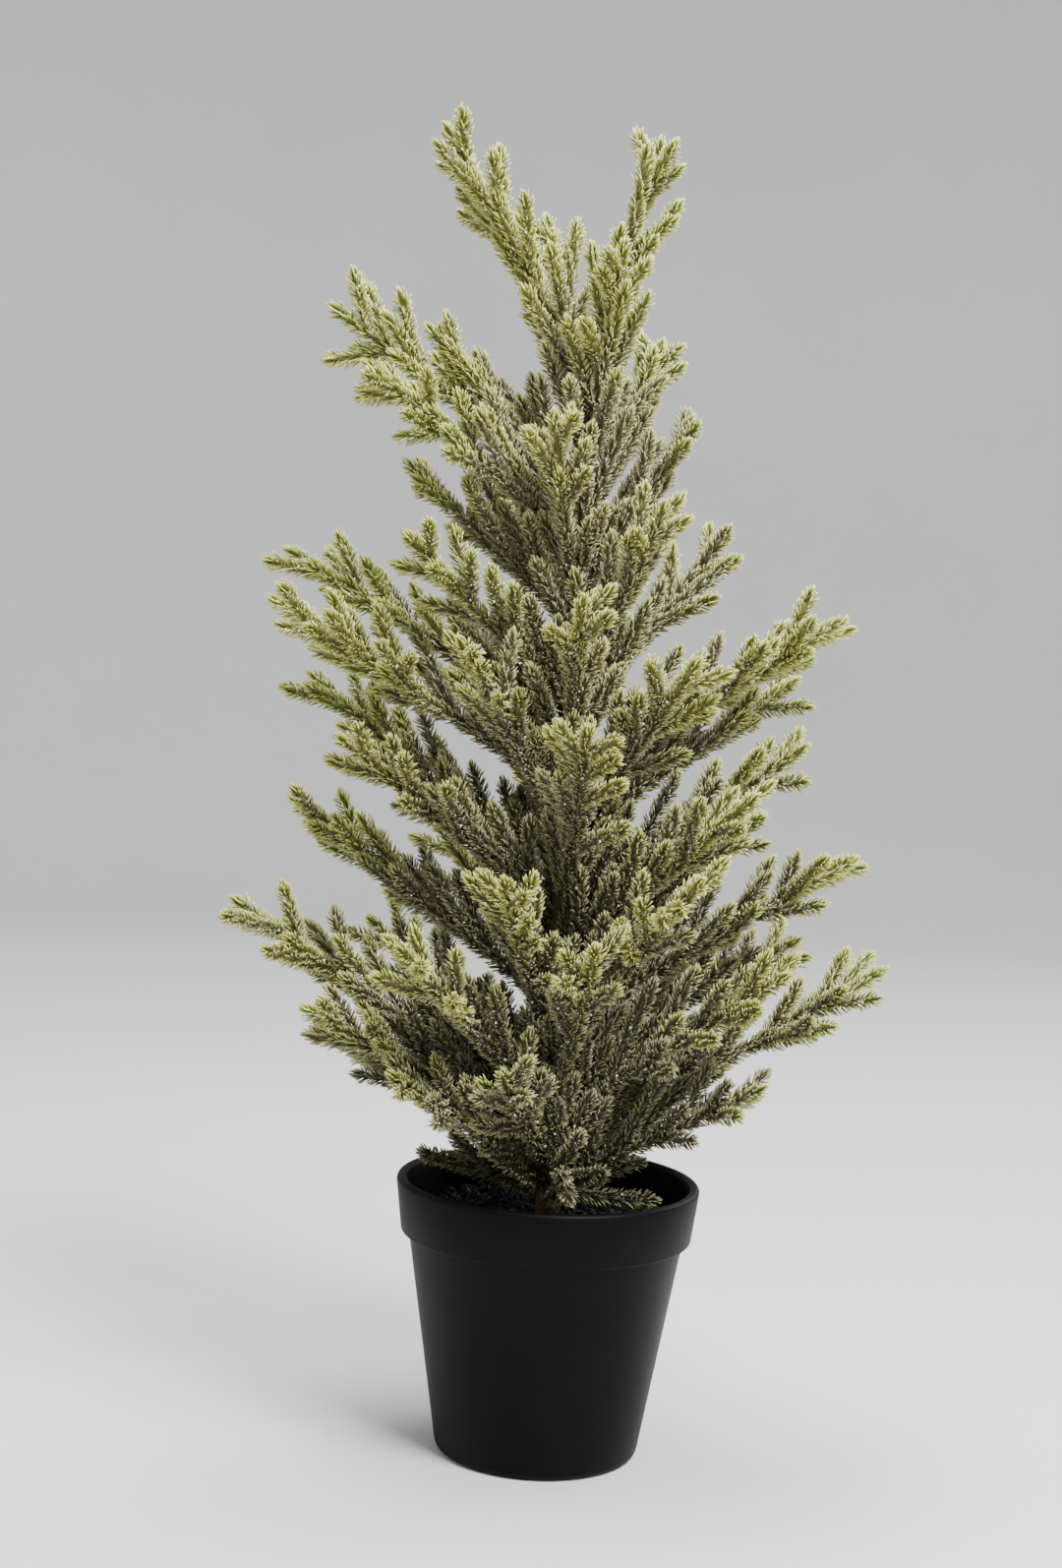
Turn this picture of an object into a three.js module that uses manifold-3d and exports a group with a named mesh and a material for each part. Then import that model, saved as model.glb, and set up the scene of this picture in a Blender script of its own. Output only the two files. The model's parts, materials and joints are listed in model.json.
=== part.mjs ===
// Artificial tabletop tree, 60 cm tall: wire-cored needle branches on a taped steel trunk that is
// cast into a tapered black pot. Millimetres, +Z up, origin at the centre of the pot's underside.
import * as THREE from "three";
import { mergeVertices } from "three/addons/utils/BufferGeometryUtils.js";
import Module from "manifold-3d";

const wasm = await Module();
wasm.setup();

// Pot: a tapered wall under a taller, slightly wider collar.
const POT_HEIGHT = 124;
const RIM_RADIUS = 68.8;
const COLLAR_HEIGHT = 25;
const COLLAR_FOOT_RADIUS = 66;
const BODY_TOP_RADIUS = 62.4;
const FOOT_RADIUS = 46.5;
const FOOT_CORNER = 4;
const WALL = 2;
const RIM_WIDTH = 4.6;
const FLOOR = 2.5;

// Filling: ballast to hold the tree up, and the soil that hides it.
const GAP = 0.3;
const SOIL_TOP = 108;
const SOIL_DEPTH = 12;
const BALLAST_TOP = SOIL_TOP - SOIL_DEPTH - GAP;

// Trunk: a steel rod bound with brown tape, which also binds the branch wires to it.
const ROD_RADIUS = 2.5;
const ROD_FOOT = 10;
const ROD_TOP = 505;
const TAPE_FOOT_RADIUS = 5.5;
const TAPE_TIP_RADIUS = 3.6;
const TAPE_TOP = 508;

// Branches: a straight stem with side sprigs left and right of it in one plane, the fan. The radii
// are those of the sleeve that the pressed needles fill, not of the bare wire.
const ROOT_RADIUS = 1.7;
const STEM_RADIUS = 3.7;
const SPRIG_ROOT_RADIUS = 1.9;
const SPRIG_RADIUS = 2.9;
const SPRIG_ANGLE = 42;
const SPRIG_PITCH = 14;
const SPRIG_LONGEST = 46;
const SPRIG_SHORTEST = 17;
const FIRST_SPRIG = 0.27;
const LAST_SPRIG = 0.84;
const ROOT_STANDOFF = 0.5;

// Every branch bends at its root, up and down in its own upright plane.
const DROOP = 10;
const LIFT = 15;
const CLEARANCE = 0.8;

// One row per branch, from the lowest root to the highest: direction in degrees from +X towards +Y,
// height of the root, reach of the tip from the trunk's centre, height of the tip, and the turn of
// the fan about the stem (0 lies flat, 90 stands on edge).
const BRANCHES = [
  [185, 122, 52, 132, 15],
  [75, 123, 90, 176, 25],
  [343, 124, 98, 176, 20],
  [128, 125, 95, 180, -25],
  [222, 127, 95, 180, -30],
  [25, 128, 92, 176, -20],
  [164, 132, 112, 180, 25],
  [255, 132, 84, 186, 30],
  [283, 138, 48, 123, 50],
  [3, 140, 149, 226, 10],
  [203, 142, 120, 204, 20],
  [52, 148, 112, 222, -25],
  [188, 152, 148, 247, -15],
  [145, 156, 114, 232, -20],
  [330, 156, 114, 230, 25],
  [234, 158, 114, 238, -25],
  [280, 162, 88, 242, 35],
  [14, 174, 115, 236, 30],
  [254, 188, 90, 268, -35],
  [302, 190, 108, 272, 30],
  [75, 190, 106, 264, 25],
  [354, 196, 131, 278, -20],
  [124, 198, 106, 276, -25],
  [178, 206, 126, 291, 20],
  [30, 220, 108, 292, -20],
  [322, 228, 102, 306, 20],
  [97, 238, 96, 318, -20],
  [203, 246, 110, 322, 20],
  [348, 248, 107, 327, 25],
  [275, 250, 80, 332, -30],
  [170, 256, 124, 348, -25],
  [10, 280, 105, 356, 20],
  [308, 284, 86, 362, -25],
  [128, 286, 90, 366, 25],
  [232, 288, 80, 366, -30],
  [193, 302, 138, 380, 15],
  [350, 306, 120, 383, -15],
  [272, 306, 70, 386, 30],
  [80, 318, 80, 400, -20],
  [172, 330, 136, 404, -20],
  [22, 338, 74, 422, 20],
  [213, 344, 90, 410, 25],
  [305, 350, 62, 428, 25],
  [115, 366, 66, 446, -20],
  [188, 380, 80, 444, 15],
  [255, 386, 52, 464, -30],
  [355, 392, 48, 470, 20],
  [205, 412, 106, 482, -30],
  [40, 426, 44, 508, 20],
  [181, 436, 117, 512, 70],
];
const LEADERS = [
  ["leader_left", 192, 492, 70, 591, 20],
  ["leader_right", 356, 505, 27, 592, 60],
  ["leader_back", 130, 478, 36, 562, -30],
  ["leader_front", 290, 464, 38, 540, 30],
];

const Z_AXIS = new THREE.Vector3(0, 0, 1);
const radians = THREE.MathUtils.degToRad;

// Material colours.
const LOOKS = {
  pot: { color: 0x17181a, roughness: 0.62, metalness: 0 },
  ballast: { color: 0x9b978f, roughness: 0.95, metalness: 0 },
  soil: { color: 0x14110f, roughness: 0.9, metalness: 0 },
  steel: { color: 0x8a8d90, roughness: 0.45, metalness: 1 },
  tape: { color: 0x4b3a28, roughness: 0.85, metalness: 0 },
  needles: { color: 0x8f9c63, roughness: 0.8, metalness: 0 },
};

// ---- helpers: solids ----

function pieceOf(name, geometry, look) {
  const mesh = new THREE.Mesh(geometry, new THREE.MeshStandardMaterial(LOOKS[look]));
  mesh.name = name;
  return mesh;
}

// A solid of revolution about Z from [radius, height] pairs that run anticlockwise.
function turned(outline, segments) {
  const profile = outline.map(([radius, height]) => new THREE.Vector2(radius, height));
  return new THREE.LatheGeometry(profile, segments).rotateX(Math.PI / 2);
}

function solidFrom(geometry) {
  const bare = geometry.clone();
  bare.deleteAttribute("normal");
  bare.deleteAttribute("uv");
  const merged = mergeVertices(bare, 1e-4);
  const mesh = new wasm.Mesh({
    numProp: 3,
    vertProperties: merged.attributes.position.array,
    triVerts: new Uint32Array(merged.index.array),
  });
  return new wasm.Manifold(mesh);
}

function geometryFrom(solid) {
  const mesh = solid.getMesh();
  const geometry = new THREE.BufferGeometry();
  geometry.setAttribute("position", new THREE.BufferAttribute(mesh.vertProperties, 3));
  geometry.setIndex(new THREE.BufferAttribute(mesh.triVerts, 1));
  return geometry;
}

// ---- pot, filling and trunk ----

function arc(centreRadius, centreHeight, radius, fromDegrees, toDegrees, steps) {
  const points = [];
  for (let i = 0; i <= steps; i++) {
    const angle = radians(fromDegrees + ((toDegrees - fromDegrees) * i) / steps);
    const across = centreRadius + radius * Math.cos(angle);
    points.push([across, centreHeight + radius * Math.sin(angle)]);
  }
  return points;
}

// The body's outer radius below the collar.
function bodyRadius(height) {
  const top = POT_HEIGHT - COLLAR_HEIGHT;
  return THREE.MathUtils.mapLinear(height, FOOT_CORNER, top, FOOT_RADIUS, BODY_TOP_RADIUS);
}

function makePot() {
  const collarFoot = POT_HEIGHT - COLLAR_HEIGHT;
  const rimRound = RIM_WIDTH / 2;
  const outline = [
    [0, 0],
    ...arc(FOOT_RADIUS - FOOT_CORNER, FOOT_CORNER, FOOT_CORNER, -90, 0, 3),
    [BODY_TOP_RADIUS, collarFoot],
    ...arc(COLLAR_FOOT_RADIUS - 1, collarFoot + 1, 1, -90, 0, 2),
    ...arc(RIM_RADIUS - rimRound, POT_HEIGHT - rimRound, rimRound, 0, 180, 6),
    [RIM_RADIUS - RIM_WIDTH - 0.6, POT_HEIGHT - 9],
    [bodyRadius(collarFoot) - WALL, collarFoot - 4],
    [bodyRadius(FLOOR) - WALL - 0.5, FLOOR],
    [0, FLOOR],
  ];
  return pieceOf("pot", turned(outline, 56), "pot");
}

// The pot's inner radius, straight between the floor and the foot of the collar.
function innerRadius(height) {
  const collarFoot = POT_HEIGHT - COLLAR_HEIGHT;
  const low = bodyRadius(FLOOR) - WALL - 0.5;
  const high = bodyRadius(collarFoot) - WALL;
  return THREE.MathUtils.mapLinear(height, FLOOR, collarFoot - 4, low, high);
}

function makeBallast() {
  const bore = ROD_RADIUS + GAP;
  const foot = FLOOR + GAP;
  const outline = [
    [0, foot],
    [innerRadius(foot) - 2 * GAP, foot],
    [innerRadius(BALLAST_TOP - 4) - 2 * GAP, BALLAST_TOP - 4],
    [innerRadius(BALLAST_TOP - 4) - 2 * GAP - 1, BALLAST_TOP],
    [bore, BALLAST_TOP],
    [bore, ROD_FOOT - GAP],
    [0, ROD_FOOT - GAP],
  ];
  return pieceOf("cement_ballast", turned(outline, 48), "ballast");
}

function makeSoil() {
  const foot = SOIL_TOP - SOIL_DEPTH;
  const edge = innerRadius(POT_HEIGHT - COLLAR_HEIGHT - 4) - 2 * GAP;
  const hole = TAPE_FOOT_RADIUS + GAP;
  const outline = [
    [hole, foot],
    [edge, foot],
    [edge, SOIL_TOP - 3],
    [edge - 3, SOIL_TOP - 0.6],
    [edge / 2, SOIL_TOP],
    [hole, SOIL_TOP],
    [hole, foot],
  ];
  return pieceOf("soil_cover", turned(outline, 48), "soil");
}

function makeTrunkRod() {
  const length = ROD_TOP - ROD_FOOT;
  const rod = new THREE.CylinderGeometry(ROD_RADIUS, ROD_RADIUS, length, 16);
  rod.rotateX(Math.PI / 2).translate(0, 0, ROD_FOOT + length / 2);
  return pieceOf("trunk_rod", rod, "steel");
}

function tapeRadius(height) {
  return THREE.MathUtils.mapLinear(height, SOIL_TOP, TAPE_TOP, TAPE_FOOT_RADIUS, TAPE_TIP_RADIUS);
}

function makeTrunkTape() {
  const bore = ROD_RADIUS + GAP;
  const foot = SOIL_TOP - SOIL_DEPTH + GAP;
  const outline = [
    [bore, foot],
    [TAPE_FOOT_RADIUS, foot],
    [TAPE_FOOT_RADIUS, SOIL_TOP],
    [TAPE_TIP_RADIUS, TAPE_TOP - 2],
    [TAPE_TIP_RADIUS - 1, TAPE_TOP],
    [0, TAPE_TOP],
    [0, ROD_TOP + GAP],
    [bore, ROD_TOP + GAP],
    [bore, foot],
  ];
  return pieceOf("trunk_tape", turned(outline, 20), "tape");
}

// ---- branches: straight members with a start, an end and a profile of radii ----

const STEM_PROFILE = [
  [0, ROOT_RADIUS],
  [0.2, STEM_RADIUS],
  [0.9, STEM_RADIUS * 0.75],
];
const SPRIG_PROFILE = [
  [0, SPRIG_ROOT_RADIUS],
  [0.8, SPRIG_RADIUS],
];

function member(start, end, profile) {
  return { start, end, profile };
}

function radiusAt(piece, share) {
  const profile = piece.profile;
  const next = profile.findIndex(([at]) => at >= share);
  if (next < 0) {
    return profile.at(-1)[1];
  }
  if (next === 0) {
    return profile[0][1];
  }
  const [fromShare, fromRadius] = profile[next - 1];
  const [toShare, toRadius] = profile[next];
  return THREE.MathUtils.mapLinear(share, fromShare, toShare, fromRadius, toRadius);
}

// A member as a pointed prism with the given number of sides.
function memberSolid(piece, sides) {
  const along = new THREE.Vector3().subVectors(piece.end, piece.start);
  const length = along.length();
  const rings = piece.profile.map(([share, radius]) => [radius, share * length]);
  const geometry = turned([[0, 0], ...rings, [0, length]], sides);
  const turn = new THREE.Quaternion().setFromUnitVectors(Z_AXIS, along.normalize());
  geometry.applyQuaternion(turn).translate(...piece.start);
  return solidFrom(geometry);
}

// A branch's frame: its stem, its hinge and the two directions that its sprigs lean to.
function layOutBranch([name, direction, rootHeight, reach, tipHeight, fanTurn]) {
  const out = new THREE.Vector3(1, 0, 0).applyAxisAngle(Z_AXIS, radians(direction));
  const rootReach = tapeRadius(rootHeight) + ROOT_STANDOFF + ROOT_RADIUS;
  const root = out.clone().multiplyScalar(rootReach).setZ(rootHeight);
  const tip = out.clone().multiplyScalar(reach).setZ(tipHeight);
  const along = tip.clone().sub(root).normalize();
  const sideways = new THREE.Vector3().crossVectors(Z_AXIS, out);
  const hingeAxis = sideways.clone().negate();
  const across = sideways.applyAxisAngle(along, radians(fanTurn));
  const stem = member(root, tip, STEM_PROFILE);
  return { name, root, along, across, hingeAxis, stem, length: root.distanceTo(tip), sprigs: [] };
}

// The places for sprigs along a stem, each with a length, left and right in turn.
function sprigPlaces(branch) {
  const first = FIRST_SPRIG * branch.length;
  const last = LAST_SPRIG * branch.length;
  const places = [];
  for (let at = last, side = 1; at >= first; at -= SPRIG_PITCH, side = -side) {
    const share = at / branch.length;
    const wanted = branch.length * (0.44 - 0.26 * share);
    const length = THREE.MathUtils.clamp(wanted, SPRIG_SHORTEST + 5, SPRIG_LONGEST);
    places.push({ at, side, length });
  }
  return places;
}

function sprigAt(branch, place, length) {
  const lean = radians(SPRIG_ANGLE) * place.side;
  const start = branch.root.clone().addScaledVector(branch.along, place.at);
  const end = start.clone().addScaledVector(branch.along, length * Math.cos(lean));
  end.addScaledVector(branch.across, length * Math.sin(lean));
  return member(start, end, SPRIG_PROFILE);
}

// ---- clearance between branches, standing still and bent ----

// Gap between the surfaces of two members, by the closest points of their centre lines.
function memberGap(a, b) {
  const alongA = new THREE.Vector3().subVectors(a.end, a.start);
  const alongB = new THREE.Vector3().subVectors(b.end, b.start);
  const apart = new THREE.Vector3().subVectors(a.start, b.start);
  const aa = alongA.dot(alongA);
  const bb = alongB.dot(alongB);
  const ab = alongA.dot(alongB);
  const ra = alongA.dot(apart);
  const rb = alongB.dot(apart);
  const spread = aa * bb - ab * ab;
  const clamp = THREE.MathUtils.clamp;
  let s = spread > 1e-6 ? clamp((ab * rb - ra * bb) / spread, 0, 1) : 0;
  const t = clamp((ab * s + rb) / bb, 0, 1);
  s = clamp((ab * t - ra) / aa, 0, 1);
  const distance = apart.addScaledVector(alongA, s).addScaledVector(alongB, -t).length();
  return distance - radiusAt(a, s) - radiusAt(b, t);
}

function bent(piece, branch, degrees) {
  if (degrees === 0) {
    return piece;
  }
  const swing = (point) =>
    point
      .clone()
      .sub(branch.root)
      .applyAxisAngle(branch.hingeAxis, radians(degrees))
      .add(branch.root);
  return member(swing(piece.start), swing(piece.end), piece.profile);
}

// The bends to keep clear: each branch alone over its range, and all of them at either end of it.
const BEND_STEPS = [-DROOP, -DROOP / 2, 0, LIFT / 3, (2 * LIFT) / 3, LIFT];
const BEND_PAIRS = [
  ...BEND_STEPS.map((bend) => [bend, 0]),
  ...BEND_STEPS.map((bend) => [0, bend]),
  [-DROOP, -DROOP],
  [LIFT, LIFT],
];

function clearOf(piece, branch, other) {
  const nearest = branch.root.distanceTo(other.root);
  if (nearest > branch.length + other.length) {
    return true;
  }
  const obstacles = [other.stem, ...other.sprigs];
  return BEND_PAIRS.every(([mine, theirs]) => {
    const moved = bent(piece, branch, mine);
    return obstacles.every((obstacle) => {
      return memberGap(moved, bent(obstacle, other, theirs)) > CLEARANCE;
    });
  });
}

// The pot's rim and the soil, as limits on how far a sprig may sink near them.
function clearOfPot(piece, branch) {
  const low = bent(piece, branch, -DROOP).end;
  const reach = Math.hypot(low.x, low.y);
  const floor = reach < RIM_RADIUS - RIM_WIDTH - 8 ? SOIL_TOP : POT_HEIGHT;
  return low.z - SPRIG_RADIUS > floor + CLEARANCE;
}

// Sprigs are added one round at a time, so that neighbours share the room between them. One that
// is too close to another branch is tried shorter, and left out below the shortest length.
function growSprigs(branches) {
  const places = branches.map(sprigPlaces);
  const rounds = Math.max(...places.map((list) => list.length));
  for (let round = 0; round < rounds; round++) {
    branches.forEach((branch, index) => {
      const place = places[index][round];
      if (!place) {
        return;
      }
      for (let length = place.length; length >= SPRIG_SHORTEST; length -= 5) {
        const sprig = sprigAt(branch, place, length);
        const others = branches.filter((other) => other !== branch);
        if (clearOfPot(sprig, branch) && others.every((other) => clearOf(sprig, branch, other))) {
          branch.sprigs.push(sprig);
          return;
        }
      }
    });
  }
}

function makeBranch(branch) {
  let solid = memberSolid(branch.stem, 5);
  for (const sprig of branch.sprigs) {
    solid = solid.add(memberSolid(sprig, 4));
  }
  return pieceOf(branch.name, geometryFrom(solid), "needles");
}

function branchName(direction, index) {
  const side = ["right", "back", "left", "front"][Math.round(direction / 90) % 4];
  return `branch_${String(index + 1).padStart(2, "0")}_${side}`;
}

// ---- the tree ----

const branchRows = BRANCHES.map((row, index) => [branchName(row[0], index), ...row]);
const branches = [...branchRows, ...LEADERS].map(layOutBranch);
growSprigs(branches);

const tree = new THREE.Group();
tree.name = "tabletop_tree";
tree.add(makePot());
tree.add(makeBallast());
tree.add(makeSoil());
tree.add(makeTrunkRod());
tree.add(makeTrunkTape());
branches.forEach((branch) => tree.add(makeBranch(branch)));

export default tree;
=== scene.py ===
"""Looks of a potted artificial tree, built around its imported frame.

The pot, the soil and the needle branches are made anew round the frame's solids. The ballast, the
trunk rod and the tape keep their shapes and get better finishes. Every sprig is put together from
a few stretches of needles, laid end to end from its start to its tip and closed by a tuft.
"""

import json
import math
import random

import bmesh
import bpy
from mathutils import Matrix, Quaternion, Vector
from mathutils.geometry import intersect_line_line


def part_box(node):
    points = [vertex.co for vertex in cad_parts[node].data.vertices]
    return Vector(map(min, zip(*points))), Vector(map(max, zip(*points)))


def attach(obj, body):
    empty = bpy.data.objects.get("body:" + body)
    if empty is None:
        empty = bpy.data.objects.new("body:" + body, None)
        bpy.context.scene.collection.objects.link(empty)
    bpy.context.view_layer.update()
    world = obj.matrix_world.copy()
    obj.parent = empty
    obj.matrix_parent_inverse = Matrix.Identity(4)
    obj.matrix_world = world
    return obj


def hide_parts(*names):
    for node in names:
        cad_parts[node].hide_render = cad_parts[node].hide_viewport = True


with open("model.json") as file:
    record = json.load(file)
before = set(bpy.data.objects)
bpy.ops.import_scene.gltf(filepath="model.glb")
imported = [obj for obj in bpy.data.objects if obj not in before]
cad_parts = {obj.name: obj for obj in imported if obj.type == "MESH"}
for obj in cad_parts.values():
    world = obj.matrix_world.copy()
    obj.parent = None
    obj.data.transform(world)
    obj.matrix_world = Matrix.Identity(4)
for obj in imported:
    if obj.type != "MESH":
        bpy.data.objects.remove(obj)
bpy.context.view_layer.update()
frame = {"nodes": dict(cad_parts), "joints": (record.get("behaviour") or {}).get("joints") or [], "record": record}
TRUNK_BODY = "pot_and_trunk"
MM = 0.001
DOUBLES = 0.02 * MM  # corners closer than this are one
FULL_TURN = 2 * math.pi
GOLDEN_TURN = 2.4  # radians: things turned on by this each time never line up
GOLDEN_SHARE = 0.618  # the same for shares of a whole

bl_info = {
    "name": "Tabletop Tree",
    "version": (1, 0, 0),
    "blender": (4, 5, 0),
    "location": "View3D > Sidebar > Tabletop Tree",
    "description": "Makes the pot, soil, trunk and needle branches of a potted artificial tree",
    "category": "Object",
}


# ---- settings ----


def length(name, description, default):
    return bpy.props.FloatProperty(
        name=name, description=description, default=default, min=0, unit="LENGTH", precision=4
    )


def degrees(name, description, default):
    return bpy.props.FloatProperty(
        name=name, description=description, default=math.radians(default), unit="ROTATION"
    )


def colour(name, description, default):
    return bpy.props.FloatVectorProperty(
        name=name, description=description, default=default, size=3, min=0, max=1, subtype="COLOR"
    )


def count(name, description, default):
    return bpy.props.IntProperty(name=name, description=description, default=default, min=1)


def amount(name, description, default):
    return bpy.props.FloatProperty(name=name, description=description, default=default, min=0)


class NeedleSettings(bpy.types.PropertyGroup):
    needle_length: length("Length", "Length of one needle", 5.8 * MM)
    needle_width: length("Width", "Widest part of one needle", 0.88 * MM)
    spread: degrees("Spread", "Angle of a needle to its twig", 53)
    curl: degrees("Curl", "How far a needle's end turns forward", 18)
    spacing: length("Spacing", "Distance between whorls of needles", 1.33 * MM)
    per_whorl: count("Per whorl", "Needles in one whorl", 5)
    run: length("Run", "Length of one repeated stretch of needles", 8 * MM)
    flakes: count("Flakes", "Glitter flakes on one stretch of needles", 1)
    flake: length("Flake", "Width of one glitter flake", 1.3 * MM)


class BranchSettings(bpy.types.PropertyGroup):
    bare: length("Bare wire", "Taped wire at a branch's root, without needles", 5 * MM)
    wire: length("Wire", "Thickness of a twig under its needles", 2.2 * MM)
    side_pitch: length("Side pitch", "Distance between the extra sprigs on a stem", 9 * MM)
    side_length: length("Side length", "Length of the longest extra sprigs on a stem", 50 * MM)
    side_angle: degrees("Side angle", "Angle of an extra sprig to its stem", 36)
    inner: count("Inner sprigs", "Upright sprigs at the root of a spreading branch", 5)
    inner_length: length("Inner length", "Length of the upright sprigs", 48 * MM)
    skirt_pitch: length("Skirt pitch", "Height between the flat sprigs over the soil", 0.9 * MM)
    basal_pitch: length("Basal pitch", "Height between the sprigs on the trunk's foot", 3.2 * MM)
    basal_height: length("Basal height", "How far up the trunk's foot goes", 60 * MM)
    trunk_pitch: length("Trunk pitch", "Height between the sprigs above the foot", 5.8 * MM)
    crown_pitch: length("Crown pitch", "Height between the sprigs near the trunk's top", 3.8 * MM)
    crown_height: length("Crown height", "How far down from the top these sprigs go", 95 * MM)
    twig_length: length("Twig length", "Length of the small twigs on a side sprig", 22 * MM)
    sway: length("Sway", "How far a twig's middle strays from its straight line", 1.6 * MM)
    seed: count("Seed", "Start of the random choices", 11)


class NeedleColours(bpy.types.PropertyGroup):
    fresh: colour("Fresh", "Outer needles", (0.37, 0.405, 0.06))
    sage: colour("Sage", "Needles in the middle of the crown", (0.28, 0.265, 0.12))
    # Painted shade for needles low down, near the trunk and at their feet; also a darker tint that some needles
    # have at random.
    shade_and_dark_tint: colour("Deep", "Needles close to the trunk and at their own feet", (0.062, 0.058, 0.024))
    frosted: colour("Frosted", "Pale ends of the needles", (0.80, 0.82, 0.36))
    powder: colour("Powder", "Dry white powder on the inner needles", (0.62, 0.60, 0.50))
    bark: colour("Bark", "Tape on twigs and trunk", (0.09, 0.06, 0.032))


class PotSettings(bpy.types.PropertyGroup):
    steps: count("Steps", "Faces round the pot", 160)
    rounding: length("Rounding", "Radius of the pot's moulded edges", 0.9 * MM)
    plastic: colour("Plastic", "Colour of the pot", (0.0007, 0.0005, 0.0006))


class SoilSettings(bpy.types.PropertyGroup):
    crumbs: count("Crumbs", "Loose crumbs on the soil", 1000)
    crumb: length("Crumb", "Width of a middling crumb", 4.0 * MM)
    relief: length("Relief", "Height of the soil's lumps", 1.6 * MM)
    black: colour("Black", "Colour of the crumbs", (0.007, 0.006, 0.0053))
    seed: count("Seed", "Start of the random choices", 5)


class StudioSettings(bpy.types.PropertyGroup):
    distance: length("Distance", "Camera's distance in front of the trunk", 0.992)
    height: length("Height", "Camera's height above the table", 0.352)
    pitch: degrees("Pitch", "Camera's tilt upwards", -2.85)
    roll: degrees("Roll", "Camera's roll", 2.81)
    yaw: degrees("Yaw", "Camera's turn to the right", -0.96)
    lens: amount("Lens", "Focal length in millimetres", 50.6)
    floor: colour("Floor", "Colour of the floor", (0.62, 0.61, 0.60))
    floor_reach: length("Floor reach", "From the trunk to the wall", 3.2)
    wall: length("Wall", "Height of the wall round the floor", 2.3)
    sweep: length("Sweep", "Radius of the curve between floor and wall", 1.1)
    air: colour("Air", "Colour of the light from all round", (0.9, 0.93, 1.0))
    air_strength: amount("Air strength", "Strength of the light from all round", 0.48)


# ---- shader maths ----


class Value:
    """One output of a node. Arithmetic on it adds the Math nodes that work it out."""

    def __init__(self, shader, socket):
        self.shader = shader
        self.socket = socket

    def math(self, operation, *values):
        inputs = dict(enumerate((self, *values)))
        return self.shader.node("Math", {"operation": operation}, inputs)

    def __add__(self, other):
        return self.math("ADD", other)

    def __sub__(self, other):
        return self.math("SUBTRACT", other)

    def __rsub__(self, other):
        return self.shader.node("Math", {"operation": "SUBTRACT"}, {0: other, 1: self})

    def __mul__(self, other):
        return self.math("MULTIPLY", other)

    def __truediv__(self, other):
        return self.math("DIVIDE", other)

    __radd__ = __add__
    __rmul__ = __mul__

    def between(self, low, high):
        """0 below low, 1 above high, and smooth from one to the other."""
        settings = {"interpolation_type": "SMOOTHSTEP"}
        inputs = {"Value": self, "From Min": low, "From Max": high}
        return self.shader.node("MapRange", settings, inputs)


class Shader:
    """A material and its nodes."""

    def __init__(self, name):
        self.material = bpy.data.materials.new(name)
        self.material.use_nodes = True
        self.tree = self.material.node_tree
        self.surface = self.tree.nodes["Principled BSDF"]

    def fill(self, socket, value):
        if isinstance(value, Value):
            self.tree.links.new(value.socket, socket)
        elif socket.type == "RGBA":
            socket.default_value = (*value, 1.0)
        else:
            socket.default_value = value

    def node(self, kind, settings, inputs, output=0):
        made = self.tree.nodes.new("ShaderNode" + kind)
        for name, value in settings.items():
            setattr(made, name, value)
        for name, value in inputs.items():
            self.fill(made.inputs[name], value)
        return Value(self, made.outputs[output])

    def attribute(self, name):
        return self.node("Attribute", {"attribute_name": name}, {}, "Fac")

    def place(self):
        return self.node("TexCoord", {}, {}, "Object")

    def noise(self, scale, detail=2.0, roughness=0.5, vector=None):
        inputs = {"Scale": scale, "Detail": detail, "Roughness": roughness}
        inputs["Vector"] = vector or self.place()
        return self.node("TexNoise", {}, inputs)

    def cells(self, scale, output="Distance"):
        inputs = {"Scale": scale, "Vector": self.place()}
        return self.node("TexVoronoi", {}, inputs, output)

    def axes(self):
        """x, y and z of the surface, in metres."""
        xyz = self.place()
        return [self.node("SeparateXYZ", {}, {0: xyz}, axis) for axis in "XYZ"]

    def mix(self, factor, first, second):
        """A colour from first at 0 to second at 1."""
        inputs = {"Factor": factor, 6: first, 7: second}
        return self.node("Mix", {"data_type": "RGBA"}, inputs, 2)

    def bump(self, height, strength, distance):
        inputs = {"Height": height, "Strength": strength, "Distance": distance}
        return self.node("Bump", {}, inputs)

    def finish(self, **sockets):
        for name, value in sockets.items():
            self.fill(self.surface.inputs[name.replace("_", " ")], value)
        return self.material


# ---- materials ----


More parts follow.
